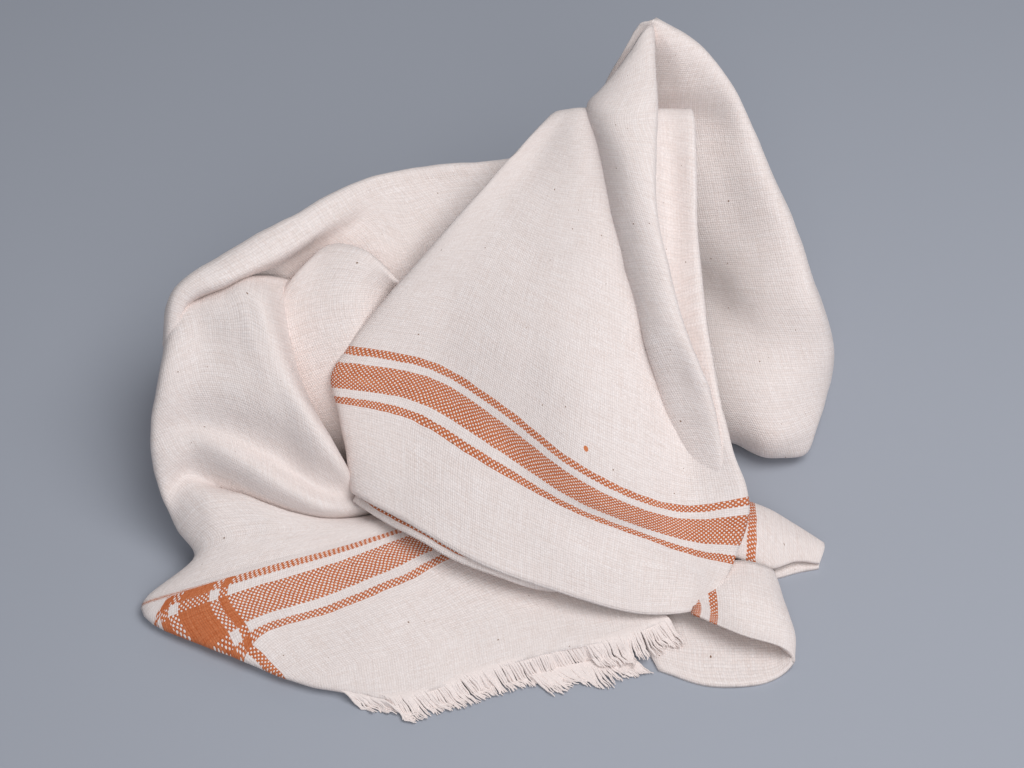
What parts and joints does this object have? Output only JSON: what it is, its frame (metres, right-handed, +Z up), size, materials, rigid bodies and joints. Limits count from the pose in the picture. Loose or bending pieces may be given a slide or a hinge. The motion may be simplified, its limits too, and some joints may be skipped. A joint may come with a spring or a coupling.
{
  "type": "handwoven towel",
  "caption": "Soft cotton towel lying crumpled in folds on a flat surface, with a striped border and a short frayed fringe at one end.",
  "frame": {"origin": "on the surface the towel lies on, under the middle of its box", "axes": "+Z up from the surface, +X to the viewer's right, +Y away from the viewer"},
  "size_m": [0.3217, 0.3101, 0.1548],
  "materials": {
    "cotton": "natural cream plain weave with rust stripes",
    "fringe_yarn": "loose natural cream warp ends"
  },
  "bodies": {
    "root": {"towel": "cotton", "fringe": "fringe_yarn"}
  },
  "joints": []
}
